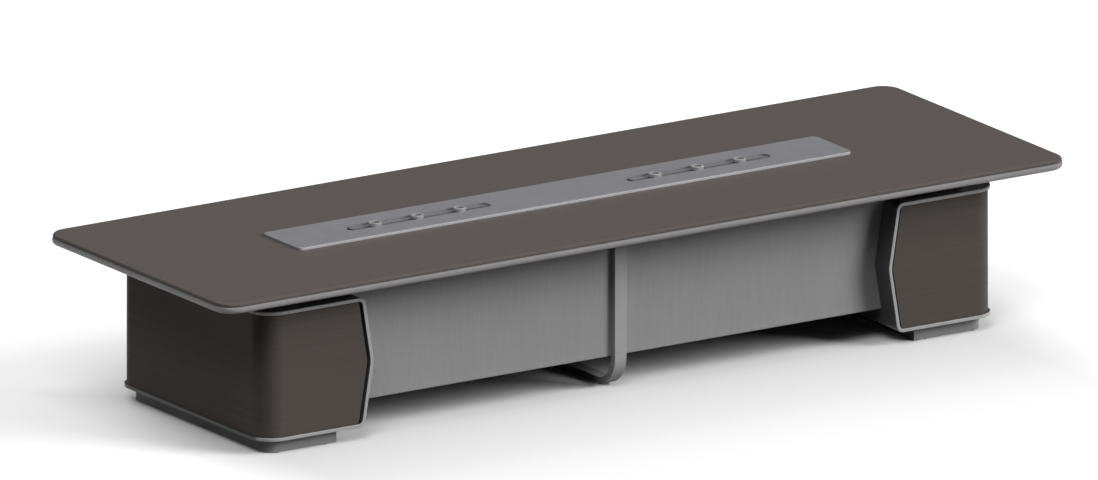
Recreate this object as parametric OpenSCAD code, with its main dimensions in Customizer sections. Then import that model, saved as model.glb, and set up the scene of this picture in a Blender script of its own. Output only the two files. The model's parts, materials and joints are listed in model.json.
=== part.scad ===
// Conference table: veneered top with a grey edge trim, two veneered pedestals in bent grey bands,
// grey modesty panels, a U-shaped centre leg, and two recessed power tracks with sliding sockets.
// Millimetres. Origin on the floor under the middle of the top. +X runs along the table,
// -Y is the long side that faces the viewer, +Z is up.

/* [Table top] */
// Length of the top over its edge trim
top_l = 4400; // [4100:10:4700]
// Width of the top over its edge trim
top_w = 1455; // [1350:5:1600]
// Height of the work surface above the floor
top_h = 765; // [700:5:800]
// Corner radius of the top in plan
top_corner_r = 95; // [60:1:160]
// Thickness of the top board
top_t = 30; // [26:1:40]
// Rounding of the top board's upper edge
top_edge_r = 14; // [6:0.5:18]

/* [Edge trim] */
// Height of the edge trim
edge_h = 34; // [26:1:45]
// Depth of the edge trim, from its nose to its inner face
edge_w = 30; // [20:1:40]
// Roundness of the trim's nose, as a share of the largest that fits
edge_nose_share = 0.97; // [0.3:0.01:0.98]
// Step from the trim's nose back to the board's rounded edge
edge_reveal = 3; // [1:0.5:6]

/* [Centre plate] */
// Length of the centre plate
plate_l = 2880; // [2500:10:3200]
// Width of the centre plate
plate_w = 304; // [240:2:400]
// Thickness of the centre plate
plate_t = 16; // [12:1:24]
// Depth that the plate is let into the top board
plate_seat = 4; // [2:0.5:8]
// Corner radius of the plate in plan
plate_corner_r = 30; // [12:1:60]
// Rounding of the plate's upper edge
plate_edge_r = 4; // [1:0.5:6]

/* [Power tracks] */
// Distance from the middle of the table to the middle of each track
track_x = 728; // [600:1:800]
// Width of each slot
slot_w = 80; // [70:1:100]
// Length of the open cable pass at each slot's left end
cable_pass_l = 40; // [30:1:60]
// Depth of the track's face below the plate's surface
rail_drop = 8; // [6:0.5:12]
// Height of the track extrusion
rail_h = 26; // [24:1:32]
// Width of the groove's mouth
mouth_w = 14; // [12:0.5:18]
// Width of the groove's chamber
chamber_w = 36; // [30:1:40]
// Height of the groove's chamber
chamber_h = 12; // [10:0.5:14]
// Thickness of the lips over the chamber
lip_t = 4; // [3:0.5:6]

/* [Socket adapters] */
// Distance between neighbouring adapters at rest
adapter_pitch = 220; // [180:1:240]
// Least gap between neighbouring adapters that slide towards each other
adapter_gap = 12; // [4:1:30]
// Diameter of an adapter's head
head_d = 58; // [50:1:64]
// Height of an adapter's face ring above the plate's surface
head_rise = 9; // [7:0.5:14]
// Diameter of the well in the head
well_d = 38; // [32:1:42]
// Depth of the well in the head
well_h = 5.5; // [4.5:0.5:7]

/* [Pedestals] */
// Overhang of the top past the pedestals' ends
end_overhang = 282; // [220:1:340]
// Overhang of the top past the pedestals' long sides
side_overhang = 134; // [100:1:180]
// Length of a pedestal from its outer end to its inner corners
ped_l = 531; // [480:1:620]
// How far the inner wall bulges past the corners
ped_bulge = 48; // [20:1:80]
// Radius of the pedestal's outer corners in plan
ped_corner_r = 113; // [70:1:150]
// Radius of the band's inner bends
ped_bend_r = 35; // [26:1:60]
// Radius of the bend at the peak of the bulge
ped_peak_r = 150; // [60:5:250]
// Thickness of the bent band
band_t = 16; // [12:1:22]
// Thickness of the veneered wrap
wrap_t = 18; // [12:1:22]
// Step from the band's edge back to the wrap
wrap_inset = 10; // [6:0.5:16]
// Shadow gap between the wrap and the band's inner wall
wrap_reveal = 11; // [6:0.5:20]
// Height from the floor to the underside of the pedestal
plinth_h = 64; // [50:1:90]
// Step from the band's edge back to the plinth
plinth_inset = 50; // [30:1:80]
// Step from the band's inner corner back to the plinth
plinth_inner_inset = 115; // [80:1:150]

/* [Middle] */
// Gap between the floor and the modesty panels
panel_floor_gap = 153; // [120:1:200]
// Thickness of a modesty panel
panel_t = 18; // [15:1:25]
// Step from the pedestal's long side back to the modesty panel
panel_setback = 112; // [80:1:160]
// Width of the centre leg's band, along the table
leg_w = 60; // [45:1:80]
// Thickness of the centre leg's band
leg_t = 30; // [20:1:40]
// Step from the modesty panel forward to the leg's face
leg_proud = 27; // [20:1:40]
// Outer radius of the leg's lower corners
leg_r = 150; // [100:5:200]

/* [Under frame] */
// Height of the long beams under the top
beam_h = 40; // [30:1:45]
// Width of the long beams
beam_w = 60; // [40:1:70]
// Clear space between a modesty panel and the long beam behind it
beam_gap = 103.5; // [60:0.5:140]
// Height of the risers between pedestals and beams
riser_h = 44; // [36:1:60]
// Wall of the steel tubes
tube_wall = 2.5; // [1.5:0.5:4]
// Inner width of the cable trays
tray_w = 130; // [115:1:160]
// Depth of the cable trays
tray_h = 68; // [50:1:80]
// Sheet of the cable trays
tray_t = 1.5; // [1:0.25:2.5]

/* [Hidden] */

// Smoothness of round walls
$fn = 64;

// Overrun of every cut past the face that it opens
cut = 1;
// Steps along each bend of the pedestal's outline
bend_steps = 10;

// Heights that several pieces share
board_z = top_h - top_t;
lip_z = top_h - top_edge_r;
edge_nose_r = edge_nose_share * min(edge_h / 2, edge_w);
plate_z = top_h - plate_seat;
plate_top_z = plate_z + plate_t;
rail_top_z = plate_top_z - rail_drop;
rail_z = rail_top_z - rail_h;
beam_z = board_z - beam_h;
ped_top_z = beam_z - riser_h;

// Pedestal outline in the vertical plane along the table
ped_out_x = top_l / 2 - end_overhang;
ped_in_x = ped_out_x - ped_l;
ped_peak_x = ped_in_x - ped_bulge;
ped_peak_z = (plinth_h + ped_top_z) / 2;
ped_w = top_w - 2 * side_overhang;

// Run of the adapters to either side of a track's middle, and the slot that it needs
adapters_per_track = 3;
run_margin = 11;
adapter_travel = (adapter_pitch - head_d - adapter_gap) / 2;
run = (adapters_per_track - 1) / 2 * adapter_pitch + adapter_travel + head_d / 2 + run_margin;
slot_l = 2 * run + cable_pass_l + slot_w / 2;
slot_shift = (slot_w / 2 - cable_pass_l) / 2;

// Window in the top board under each slot
window_margin = 12;
window_l = slot_l + 2 * window_margin;
window_w = slot_w + 2 * window_margin;

// Track extrusion
rail_gap = 0.5;
rail_w = slot_w - 2 * rail_gap;
cap_plate_t = 2.5;
rail_l = 2 * run - cap_plate_t;
rail_left_x = cap_plate_t - run;
flange_w = 10;
flange_t = 4;
side_cell_wall = 3;
chamber_top_z = rail_top_z - lip_t;
chamber_z = chamber_top_z - chamber_h;

// Insulating liner and its conductors
liner_wall = 4;
liner_floor = 2;
busbar_w = 2.5;
busbar_h = 4;
earth_w = 5;
earth_h = 1;

// Socket adapters
slide_gap = 0.6;
turn_gap = 0.4;
pivot_clearance = 0.05;
foot_l = 40;
neck_l = 30;
base_disc_t = 2;
base_disc_margin = 2;
pivot_d = 14;
pivot_top_gap = 0.5;
well_floor_t = 1.5;
head_edge_r = 3;
face_t = 2.5;
face_gap = 0.1;
pin_slot_l = 6.5;
pin_slot_w = 2.4;
pin_slot_offset = 6;
base_z = rail_top_z + turn_gap;
pivot_z = base_z + base_disc_t;
head_z = pivot_z + turn_gap;
head_top_z = plate_top_z + head_rise;
face_top_z = head_top_z - well_h;
face_z = face_top_z - face_t;
pivot_top_z = face_z - well_floor_t - pivot_top_gap;

// Screws
screw_clearance = 0.25;
small_screw_r = 2;
small_head_r = 3.6;
small_head_h = 2.4;
small_screw_l = 12;
beam_screw_r = 3;
beam_head_r = 6;
beam_head_h = 3.5;
beam_screw_bite = 18;
track_screw_x_shares = [-0.9, -0.3, 0.3, 0.9];
cap_screw_share = 0.35;

// Trays
tray_overhang = 22;
tray_l = slot_l + 2 * tray_overhang;
tray_flange_w = 25;
tray_screw_x_shares = [-0.92, -0.32, 0.32, 0.92];

// Modesty panels and centre leg
panel_gap = 0.4;
panel_front_y = ped_w / 2 - panel_setback;
panel_back_y = panel_front_y - panel_t;
leg_half_w = panel_front_y + leg_proud;
leg_glide_share = 0.55;

// Beams, cross rails and risers
beam_y = panel_back_y - beam_gap - beam_w / 2;
beam_end_inset = 78;
beam_l = 2 * (ped_out_x - beam_end_inset);
cross_w = 40;
cross_gap = 60;
cross_xs = [
  0, track_x - tray_l / 2 - cross_gap, track_x + tray_l / 2 + cross_gap,
  ped_out_x - beam_end_inset - cross_gap
];
beam_screw_x_shares = [-0.92, -0.55, -0.04, 0.04, 0.55, 0.92];
riser_w = 60;
riser_l_share = 0.76;
riser_end_inset = 138;
riser_pitch = 220;
riser_xs = [ped_out_x - riser_end_inset, ped_out_x - riser_end_inset - riser_pitch];
rib_t = 18;

// Plinth and glides
glide_h = 2;
glide_r = 20;
glide_inset = 60;
plinth_t = 30;
plinth_rib_count = 2;
plinth_least_r = 4;
plinth_corner_r = ped_corner_r - plinth_inset;
plinth_out_x = ped_out_x - plinth_inset;
plinth_in_x = ped_in_x + plinth_inner_inset;
plinth_w = ped_w - 2 * plinth_inset;

// Angle brackets
bracket_leg = 40;
bracket_t = 3;
bracket_l = 60;
bracket_x_shares = [0.12, 0.5, 0.88];
cleat_leg = 50;
cleat_t = 5;

veneer = "#5d5855";
veneer_dark = "#4e4946";
grey = "#828185";
grey_light = "#a2a2a3";
grey_panel = "#7e7e7e";
black = "#1c1c1e";
steel = "#3a3b3d";
plinth_grey = "#6c6d6e";
white = "#d4d4d2";
copper = "#b07048";

// Unit vector along a vector
function unit(v) = v / norm(v);

// Normal on the right hand of the way from a to b
function right_normal(a, b) = let (d = unit(b - a)) [d.y, -d.x];

// Corner b of the path a, b, c with its two edges moved inwards by d1 and d2
function inset_corner(a, b, c, d1, d2) =
  let (n1 = right_normal(a, b), n2 = right_normal(b, c), k = n1 * n2)
  b + (n1 * (d1 - d2 * k) + n2 * (d2 - d1 * k)) / (1 - k * k);

// Points of an arc of radius r that rounds corner b of the path a, b, c
function round_corner(a, b, c, r) =
  let (
    u = unit(a - b),
    v = unit(c - b),
    half = acos(u * v) / 2,
    middle = b + unit(u + v) * r / sin(half),
    start = b + u * r / tan(half) - middle,
    end = b + v * r / tan(half) - middle,
    a0 = atan2(start.y, start.x),
    turn = (atan2(end.y, end.x) - a0 + 540) % 360 - 180
  )
  [for (i = [0:bend_steps]) middle + r * [cos(a0 + turn * i / bend_steps), sin(a0 + turn * i / bend_steps)]];

// Side view of a pedestal, with its decks moved in by deck_in and its bulged wall by wall_in
function pedestal_outline(deck_in, wall_in, end_x) =
  let (
    low_end = [end_x, plinth_h],
    low = [ped_in_x, plinth_h],
    peak = [ped_peak_x, ped_peak_z],
    high = [ped_in_x, ped_top_z],
    high_end = [end_x, ped_top_z],
    p0 = low_end + [0, deck_in],
    p1 = inset_corner(low_end, low, peak, deck_in, wall_in),
    p2 = inset_corner(low, peak, high, wall_in, wall_in),
    p3 = inset_corner(peak, high, high_end, wall_in, deck_in),
    p4 = high_end - [0, deck_in]
  )
  concat(
    [p0], round_corner(p0, p1, p2, ped_bend_r - deck_in), round_corner(p1, p2, p3, ped_peak_r - wall_in),
    round_corner(p2, p3, p4, ped_bend_r - deck_in), [p4]
  );

// Rectangle with round corners, centred
module rounded_rect(l, w, r) {
  square([l, w - 2 * r], center = true);
  square([l - 2 * r, w], center = true);
  for (sx = [-1, 1], sy = [-1, 1])
    translate([sx * (l / 2 - r), sy * (w / 2 - r)]) circle(r);
}

// Rectangle with two straight sides and two half-round ends, centred
module stadium(l, w) {
  square([l - w, w], center = true);
  for (sx = [-1, 1])
    translate([sx * (l - w) / 2, 0]) circle(w / 2);
}

// A profile led round a rounded rectangle: its x runs outwards from the outline, its y is the height
module led_round(l, w, r) {
  for (turn = [0, 1]) {
    across = turn == 0 ? l : w;
    along = turn == 0 ? w : l;
    rotate([0, 0, turn * 90]) for (side = [0, 180])
      rotate([0, 0, side]) {
        translate([across / 2, 0, 0]) rotate([90, 0, 0])
            linear_extrude(along - 2 * r, center = true) children();
        translate([across / 2 - r, along / 2 - r, 0]) rotate_extrude(angle = 90)
            translate([r, 0]) children();
      }
  }
}

// Quarter of a disc, rounding outwards and upwards
module quarter_disc(r) {
  intersection() {
    circle(r);
    square(r);
  }
}

// Slab with a rounded upper edge
module soft_slab(l, w, r, t, edge_r) {
  if (t > edge_r) linear_extrude(t - edge_r) rounded_rect(l, w, r);
  linear_extrude(t) rounded_rect(l - 2 * edge_r, w - 2 * edge_r, r - edge_r);
  led_round(l, w, r) translate([-edge_r, t - edge_r]) quarter_disc(edge_r);
}

// A profile in the cross-section plane, extruded along the table from x0 over a length
module along_x(x0, l) {
  translate([x0, 0, 0]) rotate([90, 0, 90]) linear_extrude(l) children();
}

// A profile in the side view, extruded across the table between two places
module across_y(y0, y1) {
  translate([0, y1, 0]) rotate([90, 0, 0]) linear_extrude(y1 - y0) children();
}

// The right-hand copy for side 1, the left-hand copy for side -1
module on_side(side) {
  if (side > 0) children();
  else mirror([1, 0, 0]) children();
}

// A piece's copy at both ends of its own run
module both_sides(axis) {
  children();
  mirror(axis) children();
}

// Pan-head screw that points up from the face at its origin
module screw(r, l, head_r, head_h) {
  cylinder(r = r, h = l);
  translate([0, 0, -head_h]) cylinder(r1 = head_r - head_h / 2, r2 = head_r, h = head_h / 2);
  translate([0, 0, -head_h / 2]) cylinder(r = head_r, h = head_h / 2);
}

// Hole for a screw that points up from the face at its origin
module screw_hole(r, l) {
  translate([0, 0, -cut]) cylinder(r = r + screw_clearance, h = l + cut + screw_clearance);
}

module at_track_screws(side) {
  for (share = track_screw_x_shares, sy = [-1, 1])
    translate([side * track_x + share * run, sy * (rail_w / 2 + flange_w / 2), plate_z - flange_t])
      children();
}

// The screw in each round cap, driven from above
module at_cap_screws() {
  for (side = [-1, 1])
    translate([side * track_x + run + cap_screw_share * rail_w / 2, 0, rail_top_z]) mirror([0, 0, 1])
      children();
}

// Middle of a slot, which the track's two unlike ends may put beside the track's own middle
function slot_x(side) = side * track_x + slot_shift;

module at_tray_screws() {
  for (side = [-1, 1], share = tray_screw_x_shares, sy = [-1, 1])
    translate([
      slot_x(side) + share * tray_l / 2, sy * (tray_w / 2 + tray_t + tray_flange_w / 2), board_z - tray_t
    ]) children();
}

module at_beam_screws() {
  for (share = beam_screw_x_shares, sy = [-1, 1])
    translate([share * beam_l / 2, sy * beam_y, beam_z]) children();
}

// Place of a bracket at a share of the way from the leg to the pedestal
function bracket_x(share) = leg_w / 2 + share * (ped_peak_x - leg_w / 2);

module at_brackets() {
  for (side = [-1, 1], share = bracket_x_shares)
    translate([side * bracket_x(share), panel_back_y, board_z]) children();
}

module at_bracket_screws() {
  both_sides([0, 1, 0]) at_brackets()
    translate([0, -(bracket_leg + bracket_t) / 2, -bracket_t]) children();
  both_sides([0, 1, 0]) translate([0, leg_half_w - leg_t - (cleat_leg + cleat_t) / 2, board_z - cleat_t])
    children();
}

module top_panel() {
  color(veneer) difference() {
    union() {
      translate([0, 0, board_z]) linear_extrude(lip_z - board_z)
          rounded_rect(top_l - 2 * edge_w, top_w - 2 * edge_w, top_corner_r - edge_w);
      translate([0, 0, lip_z])
        soft_slab(top_l - 2 * edge_reveal, top_w - 2 * edge_reveal, top_corner_r - edge_reveal,
                  top_edge_r, top_edge_r);
    }
    translate([0, 0, plate_z]) linear_extrude(plate_seat + cut)
        rounded_rect(plate_l, plate_w, plate_corner_r);
    for (side = [-1, 1])
      translate([slot_x(side), 0, board_z - cut]) linear_extrude(top_t + cut)
          square([window_l, window_w], center = true);
    at_tray_screws() screw_hole(small_screw_r, small_screw_l);
    at_beam_screws() screw_hole(beam_screw_r, beam_h + beam_screw_bite);
    at_bracket_screws() screw_hole(small_screw_r, small_screw_l);
  }
}

module edge_profile() {
  translate([-edge_w, 0]) square([edge_w - edge_nose_r, edge_h]);
  translate([-edge_w, edge_nose_r]) square([edge_w, edge_h - 2 * edge_nose_r]);
  translate([-edge_nose_r, edge_h - edge_nose_r]) quarter_disc(edge_nose_r);
  translate([-edge_nose_r, edge_nose_r]) mirror([0, 1]) quarter_disc(edge_nose_r);
}

module top_edge_trim() {
  color(grey_light) translate([0, 0, lip_z - edge_h]) led_round(top_l, top_w, top_corner_r) edge_profile();
}

module centre_plate() {
  color(grey) difference() {
    translate([0, 0, plate_z]) soft_slab(plate_l, plate_w, plate_corner_r, plate_t, plate_edge_r);
    for (side = [-1, 1]) {
      translate([slot_x(side), 0, plate_z - cut]) linear_extrude(plate_t + 2 * cut) stadium(slot_l, slot_w);
      at_track_screws(side) screw_hole(small_screw_r, small_screw_l);
    }
  }
}

module rail_profile() {
  cell_w = (rail_w - chamber_w) / 2 - 2 * side_cell_wall;
  difference() {
    union() {
      translate([-rail_w / 2, rail_z]) square([rail_w, rail_h]);
      translate([-rail_w / 2 - flange_w, plate_z - flange_t]) square([rail_w + 2 * flange_w, flange_t]);
    }
    translate([-mouth_w / 2, chamber_top_z - cut]) square([mouth_w, lip_t + 2 * cut]);
    translate([-chamber_w / 2, chamber_z]) square([chamber_w, chamber_h]);
    for (sy = [-1, 1])
      translate([sy * (chamber_w / 2 + side_cell_wall + cell_w / 2) - cell_w / 2, rail_z + side_cell_wall])
        square([cell_w, rail_h - 2 * side_cell_wall]);
  }
}

module track_rail(side) {
  color(grey_panel) difference() {
    along_x(side * track_x + rail_left_x, rail_l) rail_profile();
    at_track_screws(side) screw_hole(small_screw_r, flange_t + cut);
  }
}

module busbar_profile(grow) {
  for (sy = [-1, 1])
    translate([sy * (chamber_w / 2 - liner_wall + busbar_w / 2), chamber_z + chamber_h / 2])
      square([busbar_w + 2 * grow, busbar_h], center = true);
  translate([-earth_w / 2, chamber_z + liner_floor - earth_h]) square([earth_w, earth_h + grow]);
}

module track_liner(side) {
  color(black) along_x(side * track_x + rail_left_x, rail_l) difference() {
    translate([-chamber_w / 2, chamber_z]) square([chamber_w, chamber_h]);
    translate([-chamber_w / 2 + liner_wall, chamber_z + liner_floor])
      square([chamber_w - 2 * liner_wall, chamber_h]);
    intersection() {
      busbar_profile(cut);
      translate([-chamber_w / 2 + liner_wall - busbar_w, chamber_z + liner_floor - earth_h])
        square([chamber_w - 2 * (liner_wall - busbar_w), chamber_h]);
    }
  }
}

module track_busbars(side) {
  color(copper) along_x(side * track_x + rail_left_x, rail_l) busbar_profile(0);
}

// Round cap in the slot's right end, and the flat plate on the track's cut left end
module track_end_caps() {
  color(black) difference() {
    for (side = [-1, 1]) translate([side * track_x, 0, 0]) {
      translate([0, 0, rail_z]) linear_extrude(rail_h) intersection() {
        translate([run, 0]) circle(rail_w / 2);
        translate([run, -rail_w]) square([rail_w, 2 * rail_w]);
      }
      along_x(-run, cap_plate_t) translate([-rail_w / 2, rail_z]) square([rail_w, rail_h]);
    }
    at_cap_screws() screw_hole(small_screw_r, small_screw_l);
  }
}

module cap_screws() {
  color(steel) at_cap_screws() screw(small_screw_r, small_screw_l, small_head_r, small_head_h);
}

module track_screws() {
  color(steel) for (side = [-1, 1])
    at_track_screws(side) screw(small_screw_r, small_screw_l, small_head_r, small_head_h);
}

function adapter_x(i) =
  let (track = i < adapters_per_track ? -1 : 1, place = i % adapters_per_track)
  track * track_x + (place - (adapters_per_track - 1) / 2) * adapter_pitch;

module at_adapter(i) {
  translate([adapter_x(i), 0, 0]) children();
}

// Sliding foot in the chamber, neck through the mouth, round base and the pivot that the head turns on
module adapter_base(i) {
  foot_w = chamber_w - 2 * liner_wall - 2 * slide_gap;
  foot_z = chamber_z + liner_floor + slide_gap;
  color(black) at_adapter(i) {
    translate([-foot_l / 2, -foot_w / 2, foot_z]) cube([foot_l, foot_w, chamber_top_z - slide_gap - foot_z]);
    translate([-neck_l / 2, -mouth_w / 2 + slide_gap, foot_z])
      cube([neck_l, mouth_w - 2 * slide_gap, base_z - foot_z]);
    translate([0, 0, base_z]) cylinder(d = head_d - 2 * base_disc_margin, h = base_disc_t);
    translate([0, 0, base_z]) cylinder(d = pivot_d, h = pivot_top_z - base_z);
  }
}

module adapter_head(i) {
  color(white) at_adapter(i) difference() {
    union() {
      translate([0, 0, head_z]) cylinder(d = head_d, h = head_top_z - head_edge_r - head_z);
      translate([0, 0, head_z]) cylinder(d = head_d - 2 * head_edge_r, h = head_top_z - head_z);
      translate([0, 0, head_top_z - head_edge_r]) rotate_extrude()
          translate([head_d / 2 - head_edge_r, 0]) quarter_disc(head_edge_r);
    }
    translate([0, 0, face_z]) cylinder(d = well_d, h = well_h + face_t + cut);
    translate([0, 0, head_z - cut])
      cylinder(d = pivot_d + 2 * pivot_clearance, h = pivot_top_z + pivot_top_gap - head_z + cut);
  }
}

module adapter_face(i) {
  color(black) at_adapter(i) difference() {
    translate([0, 0, face_z]) cylinder(d = well_d - 2 * face_gap, h = face_t);
    for (turn = [0, 120, 240])
      rotate([0, 0, turn]) translate([pin_slot_offset, 0, face_z - cut])
          linear_extrude(face_t + 2 * cut) square([pin_slot_w, pin_slot_l], center = true);
  }
}

module cable_tray(side) {
  outer_w = tray_w + 2 * tray_t;
  color(steel) difference() {
    along_x(slot_x(side) - tray_l / 2, tray_l) difference() {
      union() {
        translate([-outer_w / 2, board_z - tray_h]) square([outer_w, tray_h]);
        translate([-outer_w / 2 - tray_flange_w, board_z - tray_t])
          square([outer_w + 2 * tray_flange_w, tray_t]);
      }
      translate([-tray_w / 2, board_z - tray_h + tray_t]) square([tray_w, tray_h]);
    }
    at_tray_screws() screw_hole(small_screw_r, tray_t + cut);
  }
}

module tray_screws() {
  color(steel) at_tray_screws() screw(small_screw_r, small_screw_l, small_head_r, small_head_h);
}

module tube_profile(w, h) {
  difference() {
    square([w, h], center = true);
    square([w - 2 * tube_wall, h - 2 * tube_wall], center = true);
  }
}

module beam(sy) {
  color(steel) difference() {
    along_x(-beam_l / 2, beam_l) translate([sy * beam_y, beam_z + beam_h / 2]) tube_profile(beam_w, beam_h);
    at_beam_screws() screw_hole(beam_screw_r, beam_h + cut);
  }
}

module cross_rails() {
  half = beam_y - beam_w / 2;
  color(steel) for (side = [-1, 1], x = cross_xs)
    if (x > 0 || side > 0)
      across_y(-half, half) translate([side * x, beam_z + beam_h / 2]) tube_profile(cross_w, beam_h);
}

module beam_screws() {
  color(steel) at_beam_screws()
    screw(beam_screw_r, beam_h + beam_screw_bite, beam_head_r, beam_head_h);
}

module riser(side) {
  half = riser_l_share * ped_w / 2;
  color(black) on_side(side) for (x = riser_xs)
    across_y(-half, half) translate([x, ped_top_z + riser_h / 2]) tube_profile(riser_w, riser_h);
}

// Plan of a pedestal from the inner wall's reach to its round outer corners, moved in all round
module pedestal_plan(inset) {
  l = 2 * (ped_out_x - inset);
  intersection() {
    rounded_rect(l, ped_w - 2 * inset, ped_corner_r - inset);
    translate([0, -ped_w]) square([ped_out_x, 2 * ped_w]);
  }
}

module pedestal_band(side) {
  color(grey_light) on_side(side) intersection() {
    across_y(-ped_w / 2, ped_w / 2) difference() {
      polygon(pedestal_outline(0, 0, ped_out_x));
      polygon(pedestal_outline(band_t, band_t, ped_out_x + cut));
    }
    linear_extrude(ped_top_z + cut) pedestal_plan(0);
  }
}

module pedestal_wrap(side) {
  color(veneer_dark) on_side(side) intersection() {
    linear_extrude(ped_top_z) difference() {
      pedestal_plan(wrap_inset);
      pedestal_plan(wrap_inset + wrap_t);
    }
    across_y(-ped_w / 2, ped_w / 2) polygon(pedestal_outline(band_t, band_t + wrap_reveal, ped_out_x));
  }
}

module pedestal_ribs(side) {
  half = ped_w / 2 - wrap_inset - wrap_t;
  color(black) on_side(side) for (x = riser_xs)
    translate([x - rib_t / 2, -half, plinth_h + band_t])
      cube([rib_t, 2 * half, ped_top_z - plinth_h - 2 * band_t]);
}

module plinth(side) {
  depth = plinth_out_x - plinth_in_x;
  bay = (plinth_w - plinth_t) / (plinth_rib_count + 1);
  color(plinth_grey) on_side(side) translate([0, 0, glide_h]) linear_extrude(plinth_h - glide_h) {
    difference() {
      plinth_plan(0);
      plinth_plan(plinth_t);
    }
    for (i = [1:plinth_rib_count])
      translate([plinth_in_x, -plinth_w / 2 + i * bay]) square([depth, plinth_t]);
  }
}

// Plan of a plinth with round outer corners, moved in all round
module plinth_plan(inset) {
  r = max(plinth_corner_r - inset, plinth_least_r);
  intersection() {
    rounded_rect(2 * (plinth_out_x - inset), plinth_w - 2 * inset, r);
    translate([plinth_in_x + inset, -plinth_w]) square([plinth_out_x, 2 * plinth_w]);
  }
}

module floor_glides() {
  color(black) {
    for (x = [plinth_in_x + glide_inset, plinth_out_x - glide_inset], sx = [-1, 1], sy = [-1, 1])
      translate([sx * x, sy * (plinth_w / 2 - plinth_t / 2), 0]) cylinder(r = plinth_t / 2, h = glide_h);
    for (sy = [-1, 1])
      translate([0, sy * leg_glide_share * leg_half_w, 0]) cylinder(r = glide_r, h = glide_h);
  }
}

// Cross-section of the U with its outer faces moved in
module leg_outline(inset) {
  r = leg_r - inset;
  low = glide_h + inset;
  half = leg_half_w - inset;
  rise = board_z + (inset > 0 ? cut : 0);
  translate([-half, low + r]) square([2 * half, rise - low - r]);
  translate([-half + r, low]) square([2 * (half - r), r + cut]);
  for (sy = [-1, 1])
    translate([sy * (half - r), low + r]) circle(r);
}

module centre_leg() {
  color(grey_light) difference() {
    along_x(-leg_w / 2, leg_w) difference() {
      leg_outline(0);
      leg_outline(leg_t);
    }
    along_x(-leg_w / 2 + tube_wall, leg_w - 2 * tube_wall) difference() {
      leg_outline(tube_wall);
      leg_outline(leg_t - tube_wall);
    }
  }
}

module leg_cleats() {
  color(steel) both_sides([0, 1, 0]) difference() {
    along_x(-leg_w / 2, leg_w) translate([leg_half_w - leg_t, board_z]) {
      translate([-cleat_leg, -cleat_t]) square([cleat_leg, cleat_t]);
      translate([-cleat_t, -cleat_leg]) square([cleat_t, cleat_leg]);
    }
    at_bracket_screws() screw_hole(small_screw_r, cleat_t + cut);
  }
}

module modesty(side, sy) {
  y0 = sy > 0 ? panel_back_y : -panel_front_y;
  color(grey_panel) on_side(side) across_y(y0, y0 + panel_t) difference() {
    translate([leg_w / 2 + panel_gap, panel_floor_gap])
      square([ped_in_x - leg_w / 2 - panel_gap, board_z - panel_floor_gap]);
    polygon(pedestal_outline(-panel_gap, -panel_gap, ped_out_x));
  }
}

module panel_brackets() {
  color(steel) both_sides([0, 1, 0]) difference() {
    at_brackets() along_x(-bracket_l / 2, bracket_l) {
      translate([-bracket_leg, -bracket_t]) square([bracket_leg, bracket_t]);
      translate([-bracket_t, -bracket_leg]) square([bracket_t, bracket_leg]);
    }
    at_bracket_screws() screw_hole(small_screw_r, bracket_t + cut);
  }
}

module bracket_screws() {
  color(steel) at_bracket_screws() screw(small_screw_r, small_screw_l, small_head_r, small_head_h);
}

top_panel();
top_edge_trim();
centre_plate();
track_rail(-1);  // track_rail_left
track_rail(1);  // track_rail_right
track_liner(-1);  // track_liner_left
track_liner(1);  // track_liner_right
track_busbars(-1);  // track_busbars_left
track_busbars(1);  // track_busbars_right
track_end_caps();
track_screws();
cap_screws();
adapter_base(0);  // adapter_base_1
adapter_base(1);  // adapter_base_2
adapter_base(2);  // adapter_base_3
adapter_base(3);  // adapter_base_4
adapter_base(4);  // adapter_base_5
adapter_base(5);  // adapter_base_6
adapter_head(0);  // adapter_head_1
adapter_head(1);  // adapter_head_2
adapter_head(2);  // adapter_head_3
adapter_head(3);  // adapter_head_4
adapter_head(4);  // adapter_head_5
adapter_head(5);  // adapter_head_6
adapter_face(0);  // adapter_face_1
adapter_face(1);  // adapter_face_2
adapter_face(2);  // adapter_face_3
adapter_face(3);  // adapter_face_4
adapter_face(4);  // adapter_face_5
adapter_face(5);  // adapter_face_6
cable_tray(-1);  // cable_tray_left
cable_tray(1);  // cable_tray_right
tray_screws();
beam(-1);  // beam_front
beam(1);  // beam_back
cross_rails();
beam_screws();
riser(-1);  // riser_left
riser(1);  // riser_right
pedestal_band(-1);  // pedestal_band_left
pedestal_band(1);  // pedestal_band_right
pedestal_wrap(-1);  // pedestal_wrap_left
pedestal_wrap(1);  // pedestal_wrap_right
pedestal_ribs(-1);  // pedestal_ribs_left
pedestal_ribs(1);  // pedestal_ribs_right
plinth(-1);  // plinth_left
plinth(1);  // plinth_right
centre_leg();
leg_cleats();
floor_glides();
modesty(-1, -1);  // modesty_front_left
modesty(1, -1);  // modesty_front_right
modesty(-1, 1);  // modesty_back_left
modesty(1, 1);  // modesty_back_right
panel_brackets();
bracket_screws();
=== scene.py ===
"""Conference table: finishes, softened boards and tubes, fasteners and studio round its construction."""

import json
import logging
import math
from dataclasses import dataclass, field
from enum import Enum

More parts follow.
